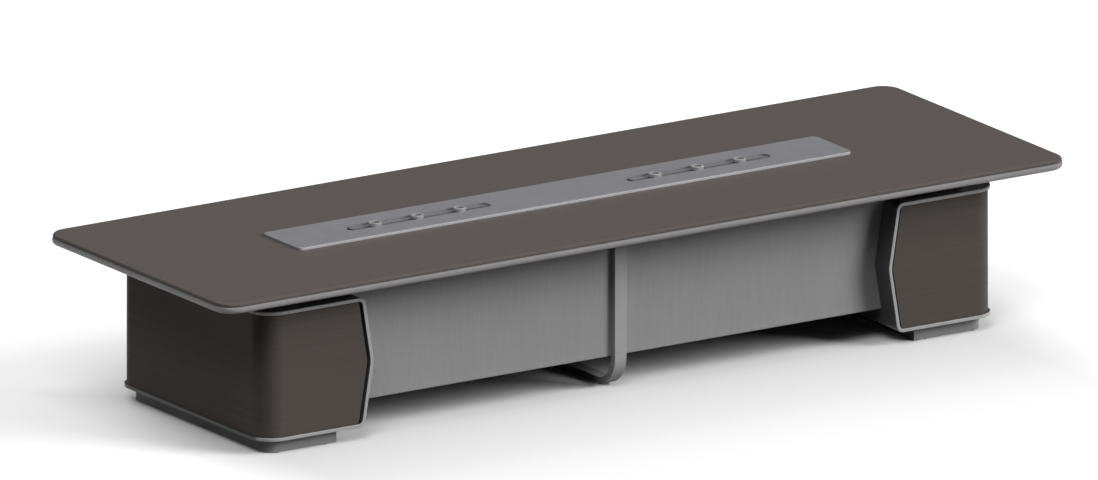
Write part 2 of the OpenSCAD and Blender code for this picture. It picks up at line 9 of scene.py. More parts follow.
import bmesh
import bpy
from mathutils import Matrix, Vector

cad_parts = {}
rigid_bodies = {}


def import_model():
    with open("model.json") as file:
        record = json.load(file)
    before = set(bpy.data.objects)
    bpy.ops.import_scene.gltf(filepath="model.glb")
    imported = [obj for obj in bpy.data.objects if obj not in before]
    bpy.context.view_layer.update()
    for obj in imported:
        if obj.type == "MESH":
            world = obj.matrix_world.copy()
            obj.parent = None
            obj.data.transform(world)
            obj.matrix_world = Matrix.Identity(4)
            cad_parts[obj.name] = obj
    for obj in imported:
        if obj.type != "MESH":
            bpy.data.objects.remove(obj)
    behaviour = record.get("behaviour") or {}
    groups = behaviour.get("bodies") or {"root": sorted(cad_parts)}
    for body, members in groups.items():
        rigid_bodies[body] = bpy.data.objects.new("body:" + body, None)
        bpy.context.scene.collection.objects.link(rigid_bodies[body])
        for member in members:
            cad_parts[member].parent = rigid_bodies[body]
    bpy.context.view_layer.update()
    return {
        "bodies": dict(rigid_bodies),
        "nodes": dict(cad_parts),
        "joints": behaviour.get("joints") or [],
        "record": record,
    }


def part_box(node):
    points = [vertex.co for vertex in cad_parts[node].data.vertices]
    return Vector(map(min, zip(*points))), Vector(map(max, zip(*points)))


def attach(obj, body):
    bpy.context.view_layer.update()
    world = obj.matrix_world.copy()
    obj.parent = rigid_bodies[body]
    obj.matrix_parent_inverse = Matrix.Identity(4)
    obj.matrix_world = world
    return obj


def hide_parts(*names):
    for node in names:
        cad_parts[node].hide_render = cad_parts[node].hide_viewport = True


LOG = logging.getLogger("conference_table")
MM = 0.001
SCREEN_WHITE = 255.0
WHITE = (1.0, 1.0, 1.0, 1.0)
UNIT = (0.0, 1.0)
NOISE_BAND = (0.30, 0.70)
RICH, MEDIUM, PLAIN = 5.0, 4.0, 2.0
SIDES = ("left", "right")
ADAPTERS = tuple(range(1, 7))
# Face attribute of the rounded edges, painted lighter: partly rubbing from use, partly a painted highlight.
WEAR_SHEEN_EDGE = "edge_wear_and_sheen"
WEAR_SHEEN_REPEATS = (18.0, 18.0, 18.0)
WEAR_SHEEN_BAND = (0.42, 0.62)
LEAST_TO_MOST_WEAR_SHEEN = (0.25, 1.0)
# Face attribute for painted light and shade: 1 on the faces that take the darker tone, 0 on those that look
# to the front or back.
SHADE_SIDE_FACE = "painted_shade_side"

Colour = tuple[float, float, float]
Corners = tuple[Vector, Vector]


def linear(colour: Colour) -> tuple[float, float, float, float]:
    """Turns a screen colour into the linear colour that a shader takes, by the sRGB rule.

    Args:
        colour: Red, green and blue, each from 0 to 255.

    Returns:
        Linear red, green and blue, and an alpha of 1.
    """
    shares = [value / SCREEN_WHITE for value in colour]
    straight = [s / 12.92 if s <= 0.04045 else ((s + 0.055) / 1.055) ** 2.4 for s in shares]
    return (straight[0], straight[1], straight[2], 1.0)


def shaded(colour: Colour, factor: float) -> Colour:
    """Makes a screen colour lighter or darker.

    Args:
        colour: Red, green and blue, each from 0 to 255.
        factor: What each is multiplied by.

    Returns:
        The changed colour, none of it over 255.
    """
    red, green, blue = (min(SCREEN_WHITE, value * factor) for value in colour)
    return (red, green, blue)


def direction(azimuth: float, height: float) -> Vector:
    """Gives the direction from the table towards a camera or a light.

    Args:
        azimuth: Angle round the table, from the front towards the right, in radians.
        height: Angle above the floor, in radians.

    Returns:
        The direction, of length 1.
    """
    level = math.cos(height)
    return Vector((math.sin(azimuth) * level, -math.cos(azimuth) * level, math.sin(height)))


def placed(name: str, data: bpy.types.ID) -> bpy.types.Object:
    """Adds an object to the scene.

    Args:
        name: Its name.
        data: Its mesh, light or camera.

    Returns:
        The object, at the origin.
    """
    thing = bpy.data.objects.new(name, data)
    bpy.context.scene.collection.objects.link(thing)
    return thing


def used_up(carrier: bpy.types.Object) -> bpy.types.Mesh:
    """Applies an object's modifiers and removes the object.

    Args:
        carrier: The object.

    Returns:
        A new mesh, with what the modifiers made.
    """
    evaluated = carrier.evaluated_get(bpy.context.evaluated_depsgraph_get())
    mesh = bpy.data.meshes.new_from_object(evaluated)
    bpy.data.objects.remove(carrier)
    return mesh


class Grain(Enum):
    """Way a grain runs, as the pattern's repeats per metre along X, Y and Z."""

    ALONG_TABLE = (1.1, 105.0, 105.0)
    LEVEL = (1.1, 1.1, 105.0)
    UPRIGHT = (130.0, 130.0, 7.0)


class NodeTree:
    """Any node tree, with the short calls that materials, geometry and the room's light share."""

    def __init__(self, tree: bpy.types.NodeTree) -> None:
        """Takes hold of a tree.

        Args:
            tree: The tree, of any kind.
        """
        self.nodes, self.links = tree.nodes, tree.links

    def feed(self, socket: bpy.types.NodeSocket, value: object) -> None:
        """Links another node's socket to an input, or sets the input to a value.

        Args:
            socket: The input.
            value: An output socket, a number or a colour.
        """
        if isinstance(value, bpy.types.NodeSocket):
            self.links.new(value, socket)
        else:
            socket.default_value = value

    def sums(self, operation: str, first: object, second: object) -> bpy.types.NodeSocket:
        """Adds a Math node.

        Args:
            operation: What it does, as Blender names it.
            first: Its first input.
            second: Its second input.

        Returns:
            Its result.
        """
        node = self.nodes.new("ShaderNodeMath")
        node.operation = operation
        self.feed(node.inputs[0], first)
        self.feed(node.inputs[1], second)
        return node.outputs[0]


class Shader(NodeTree):
    """A material's node tree, round one Principled surface."""

    def __init__(self, name: str) -> None:
        """Starts a material with a Principled surface and its output.

        Args:
            name: The material's name.
        """
        self.material = bpy.data.materials.new(name)
        self.material.use_nodes = True
        super().__init__(self.material.node_tree)
        self.nodes.clear()
        self.surface = self.nodes.new("ShaderNodeBsdfPrincipled")
        output = self.nodes.new("ShaderNodeOutputMaterial")
        self.links.new(self.surface.outputs[0], output.inputs["Surface"])
        self.place = self.nodes.new("ShaderNodeTexCoord").outputs["Object"]

    def noise(self, repeats: tuple[float, float, float], detail: float) -> bpy.types.NodeSocket:
        """Adds a noise that is stretched along the piece's own axes.

        Args:
            repeats: Repeats per metre along X, Y and Z.
            detail: How many finer layers the noise has: RICH, MEDIUM or PLAIN.

        Returns:
            The noise, from 0 to 1.
        """
        mapping = self.nodes.new("ShaderNodeMapping")
        self.feed(mapping.inputs["Vector"], self.place)
        self.feed(mapping.inputs["Scale"], repeats)
        noise = self.nodes.new("ShaderNodeTexNoise")
        self.feed(noise.inputs["Vector"], mapping.outputs[0])
        self.feed(noise.inputs["Scale"], 1.0)
        self.feed(noise.inputs["Detail"], detail)
        return noise.outputs[0]

    def spread(self, value: bpy.types.NodeSocket, source: tuple[float, float],
               target: tuple[float, float]) -> bpy.types.NodeSocket:
        """Maps a range of values onto another, and holds them inside it.

        Args:
            value: The values.
            source: Where the range starts and ends.
            target: What those two ends become.

        Returns:
            The mapped values.
        """
        node = self.nodes.new("ShaderNodeMapRange")
        for socket, item in zip(node.inputs, (value, *source, *target)):
            self.feed(socket, item)
        return node.outputs[0]

    def mix(self, share: object, first: object, second: object) -> bpy.types.NodeSocket:
        """Mixes two colours.

        Args:
            share: Share of the second colour.
            first: The first colour.
            second: The second colour.

        Returns:
            The mixed colour.
        """
        node = self.nodes.new("ShaderNodeMix")
        node.data_type = "RGBA"
        by_name = {s.name: s for s in node.inputs if s.enabled}
        self.feed(by_name["Factor"], share)
        self.feed(by_name["A"], first)
        self.feed(by_name["B"], second)
        return next(s for s in node.outputs if s.enabled)

    def wear_and_sheen(self, base: bpy.types.NodeSocket, colour: Colour, amount: float) -> bpy.types.NodeSocket:
        """Lightens the softened edges, unevenly: partly where hands and cloths rub them, partly a painted
        highlight.

        Args:
            base: The colour of the rest.
            colour: The piece's own screen colour.
            amount: How much lighter an edge is, as a share.

        Returns:
            The colour with its lightened edges.
        """
        edge = self.nodes.new("ShaderNodeAttribute")
        edge.attribute_name = WEAR_SHEEN_EDGE
        patches = self.spread(self.noise(WEAR_SHEEN_REPEATS, MEDIUM), WEAR_SHEEN_BAND, LEAST_TO_MOST_WEAR_SHEEN)
        share = self.sums("MULTIPLY", edge.outputs["Fac"], patches)
        return self.mix(share, base, linear(shaded(colour, 1 + amount)))

    def paint_light_and_shade(self, base: bpy.types.NodeSocket, colour: Colour) -> bpy.types.NodeSocket:
        """Paints light and shade by facing: the marked faces take a darker colour than those that look to
        the front or back.

        Args:
            base: The lighter colour, of the faces that look to the front or back.
            colour: Screen colour of the marked faces, the darker side of the painted light and shade.

        Returns:
            The colour of both.
        """
        face = self.nodes.new("ShaderNodeAttribute")
        face.attribute_name = SHADE_SIDE_FACE
        return self.mix(face.outputs["Fac"], base, linear(colour))

    def bump(self, height: bpy.types.NodeSocket, strength: float, distance: float) -> None:
        """Gives the surface a relief.

        Args:
            height: The relief, from 0 to 1.
            strength: How strongly it shows.
            distance: Its depth in metres.
        """
        node = self.nodes.new("ShaderNodeBump")
        self.feed(node.inputs["Height"], height)
        self.feed(node.inputs["Strength"], strength)
        self.feed(node.inputs["Distance"], distance)
        self.links.new(node.outputs[0], self.surface.inputs["Normal"])

    def settle(self, **values: float) -> None:
        """Sets numbers on the surface's own sockets, with underscores for the spaces in their names."""
        for name, value in values.items():
            self.surface.inputs[name.replace("_", " ")].default_value = value


@dataclass(frozen=True)
class Grained:
    """A surface with straight grain: veneer, laminate or brushed metal.

    The pores are the figure's own noise, made finer. The drift is a slow change of tone along the grain.
    """

    name: str
    colour: Colour
    grain: Grain
    contrast: float = 0.08
    pore_contrast: float = 0.10
    roughness: float = 0.5
    metallic: float = 0.0
    coat: float = 0.0
    relief: float = 0.25
    # Share by which the rounded edges are painted lighter: rubbing from use and a painted highlight.
    wear_sheen: float = 0.10
    specular: float = 0.5
    pore_fineness: float = 5.5
    pore_band: tuple[float, float] = (0.38, 0.56)
    pore_darkness: float = 2.2
    pore_cover: float = 4.0
    drift_share: float = 0.28
    drift_fineness: float = 0.06
    least_drift: float = 0.8
    gloss_swing: float = 0.05
    depth: float = 0.15 * MM
    coat_roughness: float = 0.3

    def material(self) -> bpy.types.Material:
        """Builds the material.

        Returns:
            A material with figure, pores, drifting tone, edges lightened by rubbing and a painted highlight,
            and relief.
        """
        shader = Shader(self.name)
        repeats = self.grain.value
        figure = shader.noise(repeats, RICH)
        fine = tuple(r * self.pore_fineness for r in repeats)
        pores = shader.spread(shader.noise(fine, PLAIN), self.pore_band, UNIT)
        slow = tuple(max(self.least_drift, r * self.drift_fineness) for r in repeats)
        drift = shader.noise(slow, PLAIN)
        tone = shader.sums("ADD", shader.sums("MULTIPLY", figure, 1 - self.drift_share),
                           shader.sums("MULTIPLY", drift, self.drift_share))
        even = shader.spread(tone, NOISE_BAND, UNIT)
        body = shader.mix(even, linear(shaded(self.colour, 1 - self.contrast)),
                          linear(shaded(self.colour, 1 + self.contrast)))
        dark = linear(shaded(self.colour, 1 - self.pore_darkness * self.pore_contrast))
        share = shader.spread(pores, UNIT, (self.pore_contrast * self.pore_cover, 0.0))
        grained = shader.mix(share, body, dark)
        # Rounded edges painted lighter: partly rubbing from use, partly a painted highlight.
        shader.feed(shader.surface.inputs["Base Color"], shader.wear_and_sheen(grained, self.colour, self.wear_sheen))
        dull, glossy = self.roughness + self.gloss_swing, self.roughness - self.gloss_swing
        shader.feed(shader.surface.inputs["Roughness"], shader.spread(tone, NOISE_BAND, (dull, glossy)))
        shader.bump(shader.sums("ADD", pores, figure), self.relief, self.depth)
        shader.settle(Metallic=self.metallic, Coat_Weight=self.coat, Coat_Roughness=self.coat_roughness,
                      Specular_IOR_Level=self.specular)
        return shader.material


@dataclass(frozen=True)
class Even:
    """A surface with no grain: lacquer, moulded plastic, powder coat, rubber or plain metal.

    Clouds are its slight change of tone, marks the duller patches that handling leaves, and the skin its
    fine relief.
    """

    name: str
    colour: Colour
    roughness: float = 0.4
    metallic: float = 0.0
    mottling: float = 0.02
    texture: float = 900.0
    relief: float = 0.08
    coat: float = 0.0
    # Share by which the rounded edges are painted lighter: rubbing from use and a painted highlight.
    wear_sheen: float = 0.12
    # Darker colour of the faces that look little to the front or back: painted light and shade.
    shade_side_colour: Colour | None = None
    cloud_repeats: float = 7.0
    mark_repeats: tuple[float, float, float] = (14.0, 5.0, 9.0)
    mark_band: tuple[float, float] = (0.35, 0.65)
    cleaner: float = 0.04
    duller: float = 0.06
    depth: float = 0.1 * MM
    coat_roughness: float = 0.25

    def material(self) -> bpy.types.Material:
        """Builds the material.

        Returns:
            A material with mottled tone, handling marks, edges lightened by rubbing and a painted highlight,
            and a fine skin.
        """
        shader = Shader(self.name)
        cloud = shader.spread(shader.noise((self.cloud_repeats,) * 3, MEDIUM), NOISE_BAND, UNIT)
        body = shader.mix(cloud, linear(shaded(self.colour, 1 - self.mottling)),
                          linear(shaded(self.colour, 1 + self.mottling)))
        # Rounded edges painted lighter: partly rubbing from use, partly a painted highlight.
        body = shader.wear_and_sheen(body, self.colour, self.wear_sheen)
        # Painted light and shade: faces that look to the front or back keep the lighter colour, and the
        # marked faces take the darker one.
        if self.shade_side_colour:
            body = shader.paint_light_and_shade(body, self.shade_side_colour)
        shader.feed(shader.surface.inputs["Base Color"], body)
        marks = shader.spread(shader.noise(self.mark_repeats, RICH), self.mark_band,
                              (self.roughness - self.cleaner, self.roughness + self.duller))
        shader.feed(shader.surface.inputs["Roughness"], marks)
        shader.bump(shader.noise((self.texture,) * 3, PLAIN), self.relief, self.depth)
        shader.settle(Metallic=self.metallic, Coat_Weight=self.coat, Coat_Roughness=self.coat_roughness)
        return shader.material


Finish = Grained | Even

TOP_VENEER = Grained("top_veneer", (90, 84, 81), Grain.ALONG_TABLE, contrast=0.018, pore_contrast=0.02,
                     roughness=0.5, relief=0.08, specular=0.25)
PEDESTAL_VENEER = Grained("pedestal_veneer", (87, 81, 77), Grain.LEVEL, contrast=0.03, pore_contrast=0.03,
                          roughness=0.55, relief=0.1, specular=0.12)
PANEL_LAMINATE = Grained("panel_laminate", (153, 153, 153), Grain.UPRIGHT, contrast=0.018,
                         pore_contrast=0.015, roughness=0.55, relief=0.08, wear_sheen=0.05)
# Painted highlight: the faces that look to the front and back are 184, while the top, ends and slots are
# 135.
PLATE_LACQUER = Even("plate_lacquer", (184, 184, 187), roughness=0.36, coat=0.1,
                     shade_side_colour=(135, 134, 138))
EDGE_LACQUER = Even("edge_lacquer", (143, 140, 141), roughness=0.34, coat=0.1)
# Painted shade: the band's wide faces are 82, and its front and back edges are 171.
BAND_LACQUER = Even("band_lacquer", (171, 171, 172), roughness=0.36, coat=0.1, shade_side_colour=(82, 82, 83))
PLINTH_LACQUER = Even("plinth_lacquer", (146, 147, 147), roughness=0.45)
CARCASS_BOARD = Even("carcass_board", (32, 32, 33), roughness=0.6, mottling=0.05)
LEG_PAINT = Even("leg_paint", (167, 167, 167), roughness=0.4)
TRACK_METAL = Grained("track_metal", (124, 124, 127), Grain.ALONG_TABLE, contrast=0.03, pore_contrast=0.02,
                      roughness=0.42, metallic=0.15, relief=0.08)
INSULATOR = Even("insulator", (38, 38, 41), roughness=0.5, texture=1400.0, relief=0.14)
CONDUCTOR = Grained("conductor", (190, 128, 88), Grain.ALONG_TABLE, roughness=0.3, metallic=1.0, relief=0.08)
ADAPTER_SHELL = Even("adapter_shell", (164, 164, 163), roughness=0.24, texture=1400.0, relief=0.05, coat=0.2)
CAP_PLASTIC = Even("cap_plastic", (108, 108, 110), roughness=0.45, texture=1400.0, relief=0.1)
SOCKET_FACE = Even("socket_face", (100, 100, 102), roughness=0.4, texture=1400.0, relief=0.08)
FRAME_STEEL = Even("frame_steel", (40, 40, 42), roughness=0.5, texture=1100.0, relief=0.22)
FASTENER = Even("fastener", (150, 150, 154), roughness=0.32, metallic=1.0, relief=0.05)
GLIDE = Even("glide", (30, 30, 31), roughness=0.75, texture=700.0, relief=0.2)


class GeometryTree(NodeTree):
    """A Geometry Nodes tree that is built node by node and run once for each piece."""

    def __init__(self, name: str) -> None:
        """Starts a tree with a geometry input and a geometry output.

        Args:
            name: The tree's name.
        """
        self.group = bpy.data.node_groups.new(name, "GeometryNodeTree")
        self.group.interface.new_socket("Geometry", in_out="INPUT", socket_type="NodeSocketGeometry")
        self.group.interface.new_socket("Geometry", in_out="OUTPUT", socket_type="NodeSocketGeometry")
        super().__init__(self.group)
        self.start = self.nodes.new("NodeGroupInput")
        self.end = self.nodes.new("NodeGroupOutput")
        self.sockets: dict[str, str] = {}

    def size(self, label: str) -> bpy.types.NodeSocket:
        """Adds a named size to the tree's inputs.

        Args:
            label: What the size is called.

        Returns:
            The socket that gives it.
        """
        item = self.group.interface.new_socket(label, in_out="INPUT", socket_type="NodeSocketFloat")
        self.sockets[label] = item.identifier
        return next(s for s in self.start.outputs if s.identifier == item.identifier)

    def add(self, kind: str, inputs: dict[str, object], **settings: object) -> bpy.types.Node:
        """Adds a node.

        Args:
            kind: The node's type, as Blender names it.
            inputs: Values or output sockets for its inputs, by name.
            **settings: The node's own options.

        Returns:
            The node.
        """
        node = self.nodes.new(kind)
        for name, value in settings.items():
            setattr(node, name, value)
        for name, value in inputs.items():
            self.feed(next(s for s in node.inputs if s.name == name and s.enabled), value)
        return node

    def vector(self, x: object, y: object, z: object) -> bpy.types.NodeSocket:
        """Joins three numbers or sockets into a vector and returns its socket."""
        return self.add("ShaderNodeCombineXYZ", {"X": x, "Y": y, "Z": z}).outputs[0]

    def joined(self, *parts: bpy.types.NodeSocket) -> bpy.types.NodeSocket:
        """Joins several geometries and returns the socket of the whole."""
        node = self.nodes.new("GeometryNodeJoinGeometry")
        for part in parts:
            self.links.new(part, node.inputs[0])
        return node.outputs[0]

    def close(self, geometry: bpy.types.NodeSocket, material: bpy.types.Material) -> None:
        """Ends the tree in real geometry with a material.

        Args:
            geometry: What the tree has made.
            material: The material of all of it.
        """
        real = self.add("GeometryNodeRealizeInstances", {"Geometry": geometry}).outputs[0]
        dressed = self.add("GeometryNodeSetMaterial", {"Geometry": real, "Material": material}).outputs[0]
        self.links.new(dressed, self.end.inputs[0])

    def run(self, name: str, sizes: dict[str, float], points: list[Vector]) -> bpy.types.Object:
        """Runs the tree on points and keeps the result as a plain mesh.

        Args:
            name: The new piece's name.
            sizes: A value for each named size.
            points: The points that the tree starts from.

        Returns:
            The new piece, at the origin.
        """
        seed = bpy.data.meshes.new(name + "_seed")
        seed.from_pydata([tuple(p) for p in points], [], [])
        carrier = placed(name + "_seed", seed)
        modifier = carrier.modifiers.new("tree", "NODES")
        modifier.node_group = self.group
        for label, value in sizes.items():
            modifier[self.sockets[label]] = value
        mesh = used_up(carrier)
        mesh.name = name
        return placed(name, mesh)


@dataclass
class Workshop:
    """What every sub-assembly works with: the frame, the finishes in use and the ways to make a piece."""

    frame: dict
    smooth_angle: float = math.radians(32)
    merge_distance: float = 0.01 * MM
    flat_angle: float = math.radians(0.4)
    edge_angle: float = math.radians(38)
    flat_face_weight: int = 100
    materials: dict[str, bpy.types.Material] = field(default_factory=dict)

    def __post_init__(self) -> None:
        """Reads which body and which material slot each node has."""
        record = self.frame["record"]
        self.slot_of = {row["node"]: row["material_slot"] for row in record["subparts"]}
        bodies = record["behaviour"]["bodies"]
        self.body_of = {node: body for body, nodes in bodies.items() for node in nodes}

    def material(self, finish: Finish) -> bpy.types.Material:
        """Gives a finish's material, which is built once.

        Args:
            finish: The finish.

        Returns:
            Its material.
        """
        if finish.name not in self.materials:
            self.materials[finish.name] = finish.material()
        return self.materials[finish.name]

    def dress(self, node: str, finish: Finish) -> None:
        """Gives a node of the construction its finish.

        Args:
            node: The node's name.
            finish: The finish.
        """
        mesh = self.frame["nodes"][node].data
        mesh.materials.clear()
        mesh.materials.append(self.material(finish))
        LOG.info("%s: dressed in %s", node, finish.name)

    def merged(self, node: str) -> bpy.types.Mesh:
        """Copies a node's mesh with its triangles joined and its flat faces made whole.

        Args:
            node: The node's name.

        Returns:
            The new mesh.
        """
        copy = bmesh.new()
        copy.from_mesh(self.frame["nodes"][node].data)
        bmesh.ops.remove_doubles(copy, verts=copy.verts, dist=self.merge_distance)
        bmesh.ops.dissolve_limit(copy, angle_limit=self.flat_angle, verts=copy.verts, edges=copy.edges)
        mesh = bpy.data.meshes.new(node + "_merged")
        copy.to_mesh(mesh)
        copy.free()
        return mesh

    def keep(self, piece: bpy.types.Object, node: str) -> bpy.types.Object:
        """Lets a finished piece stand for a node: same body, with the node hidden.

        Args:
            piece: The piece.
            node: The node that it stands for.

        Returns:
            The piece.
        """
        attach(piece, self.body_of[node])
        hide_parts(node)
        LOG.info("%s: %d faces, stands for %s", piece.name, len(piece.data.polygons), node)
        return piece

    def soften(self, node: str, finish: Finish, width: float, segments: int = 2) -> bpy.types.Object:
        """Makes a piece from a node with its sharp edges rounded, as sanded or bent edges are.

        Args:
            node: The node that the piece stands for.
            finish: Its finish.
            width: Width of the rounding, in metres.
            segments: Faces across the rounding.

        Returns:
            The piece.
        """
        rough = placed(node + "_rough", self.merged(node))
        rough.data.materials.clear()
        # The bevel marks the faces it adds with a second slot, which becomes the attribute of the edges
        # painted lighter for rubbing and a highlight.
        for _ in range(2):
            rough.data.materials.append(self.material(finish))
        for face in rough.data.polygons:
            face.material_index = 0
        bevel = rough.modifiers.new("edges", "BEVEL")
        bevel.width, bevel.segments, bevel.limit_method = width, segments, "ANGLE"
        bevel.angle_limit, bevel.material, bevel.use_clamp_overlap = self.edge_angle, 1, True
        mesh = used_up(rough)
        edge = mesh.attributes.new(WEAR_SHEEN_EDGE, "FLOAT", "FACE")
        edge.data.foreach_set("value", [float(face.material_index) for face in mesh.polygons])
        for face in mesh.polygons:
            face.material_index = 0
        mesh.materials.pop(index=1)
        return self.keep(placed(node + "_soft", self.flat_weighted(mesh)), node)

    def shade(self, mesh: bpy.types.Mesh) -> None:
        """Shades round faces smoothly and leaves real edges sharp.

        Args:
            mesh: The mesh.
        """
        mesh.shade_smooth()
        mesh.set_sharp_from_angle(angle=self.smooth_angle)

    def flat_weighted(self, mesh: bpy.types.Mesh) -> bpy.types.Mesh:
        """Shades a mesh and lets its large flat faces keep their own direction.

        Args:
            mesh: The mesh, which is used up.

        Returns:
            The shaded mesh.
        """
        self.shade(mesh)
        carrier = placed("shading", mesh)
        weighted = carrier.modifiers.new("flat_faces", "WEIGHTED_NORMAL")
        weighted.keep_sharp, weighted.weight = True, self.flat_face_weight
        return used_up(carrier)

    def mark_shade_side(self, piece: bpy.types.Object, most_sideways: float,
                   inner: tuple[float, float] = (0.0, 0.0)) -> None:
        """Marks the faces of a board that take the darker tone of the painted light and shade, unlike its
        edges at the front and back.

        Args:
            piece: The board.
            most_sideways: How far towards the front or back a marked face may look, from 0 to 1.
            inner: Distances from the middle along X and Y, within which every face is marked.
        """
        marks = piece.data.attributes.new(SHADE_SIDE_FACE, "FLOAT", "FACE")
        for face, mark in zip(piece.data.polygons, marks.data):
            within = abs(face.center.x) < inner[0] and abs(face.center.y) < inner[1]
            mark.value = float(within or abs(face.normal.y) <= most_sideways)

    def islands(self, node: str) -> list[Corners]:
        """Finds the separate solids of a node.

        Args:
            node: The node's name.

        Returns:
            Lowest and highest corner of each solid.
        """
        copy = bmesh.new()
        copy.from_mesh(self.frame["nodes"][node].data)
        bmesh.ops.remove_doubles(copy, verts=copy.verts, dist=self.merge_distance)
        unseen, found = set(copy.verts), []
        while unseen:
            waiting, points = [unseen.pop()], []
            while waiting:
                vertex = waiting.pop()
                points.append(vertex.co.copy())
                near = {edge.other_vert(vertex) for edge in vertex.link_edges} & unseen
                unseen -= near
                waiting.extend(near)
            low = Vector([min(p[i] for p in points) for i in range(3)])
            high = Vector([max(p[i] for p in points) for i in range(3)])
            found.append((low, high))
        copy.free()
        return sorted(found, key=lambda box: tuple(box[0]))


@dataclass(frozen=True)
class ScrewSize:
    """Radius of a screw's shank, and radius and height of its head."""

    shank_r: float
    head_r: float
    head_h: float


SMALL_SCREW = ScrewSize(2.0 * MM, 3.6 * MM, 2.4 * MM)
LARGE_SCREW = ScrewSize(3.0 * MM, 6.0 * MM, 3.5 * MM)


@dataclass
class Fasteners:
    """Pan-head screws with a cross recess, made by one Geometry Nodes tree where the real ones are."""

    shop: Workshop
    sides: int = 20
    chamfer_share: float = 0.72
    rim_middle_share: float = 0.75
    recess_length_share: float = 1.05
    recess_width_share: float = 0.2
    recess_depth_share: float = 0.55
    sizes: dict[str, ScrewSize] = field(default_factory=lambda: {
        "track_screws": SMALL_SCREW,
        "tray_screws": SMALL_SCREW,
        "beam_screws": LARGE_SCREW,
        "bracket_screws": SMALL_SCREW,
        "cap_screws": SMALL_SCREW,
    })
    heads_up: tuple[str, ...] = ("cap_screws",)

    def tree(self) -> GeometryTree:
        """Builds the tree: a shank and a chamfered head with its recess, on each point.

        Returns:
            The tree, whose points are the middles of the screws' heads, at their outer face.
        """
        tree = GeometryTree("pan_head_screws")
        shank_r, head_r = tree.size("Shank radius"), tree.size("Head radius")
        head_h, length, turn = tree.size("Head height"), tree.size("Length"), tree.size("Turn")
        half = tree.sums("MULTIPLY", head_h, 0.5)
        rim_middle = tree.sums("MULTIPLY", head_h, self.rim_middle_share)
        cone = tree.add("GeometryNodeMeshCone", {
            "Vertices": self.sides, "Radius Bottom": tree.sums("MULTIPLY", head_r, self.chamfer_share),
            "Radius Top": head_r, "Depth": half})
        rim = tree.add("GeometryNodeMeshCylinder", {"Vertices": self.sides, "Radius": head_r, "Depth": half})
        rim_up = tree.add("GeometryNodeTransform", {
            "Geometry": rim.outputs[0],
            "Translation": tree.vector(0.0, 0.0, rim_middle)}).outputs[0]
        long_side = tree.sums("MULTIPLY", head_r, self.recess_length_share)
        short_side = tree.sums("MULTIPLY", head_r, self.recess_width_share)
        depth = tree.sums("MULTIPLY", head_h, self.recess_depth_share)
        bars = [tree.add("GeometryNodeMeshCube", {"Size": tree.vector(a, b, depth)}).outputs[0]
                for a, b in ((long_side, short_side), (short_side, long_side))]
        recessed = cone.outputs[0]
        for bar in bars:
            cut = tree.add("GeometryNodeMeshBoolean", {"Mesh 1": recessed, "Mesh 2": bar},
                           operation="DIFFERENCE")
            recessed = cut.outputs[0]
        shank = tree.add("GeometryNodeMeshCylinder", {"Vertices": self.sides, "Radius": shank_r,
                                                      "Depth": length})
        middle = tree.sums("ADD", head_h, tree.sums("MULTIPLY", length, 0.5))
        shank_up = tree.add("GeometryNodeTransform", {
            "Geometry": shank.outputs[0], "Translation": tree.vector(0.0, 0.0, middle)}).outputs[0]
        screw = tree.add("GeometryNodeTransform", {
            "Geometry": tree.joined(recessed, rim_up, shank_up),
            "Rotation": tree.vector(turn, 0.0, 0.0)}).outputs[0]
        placed = tree.add("GeometryNodeInstanceOnPoints", {
            "Points": tree.start.outputs[0], "Instance": screw}).outputs[0]
        tree.close(placed, self.shop.material(FASTENER))
        return tree

    def build(self) -> None:
        """Makes each group of screws, from the places of its own node's solids."""
        tree = self.tree()
        for node, size in self.sizes.items():
            boxes = self.shop.islands(node)
            up = node in self.heads_up
            points = [Vector(((low.x + high.x) / 2, (low.y + high.y) / 2, high.z if up else low.z))
                      for low, high in boxes]
            low, high = boxes[0]
            sizes = {"Shank radius": size.shank_r, "Head radius": size.head_r, "Head height": size.head_h,
                     "Length": high.z - low.z - size.head_h, "Turn": math.pi if up else 0.0}
            piece = tree.run(node + "_turned", sizes, points)
            self.shop.shade(piece.data)
            self.shop.keep(piece, node)


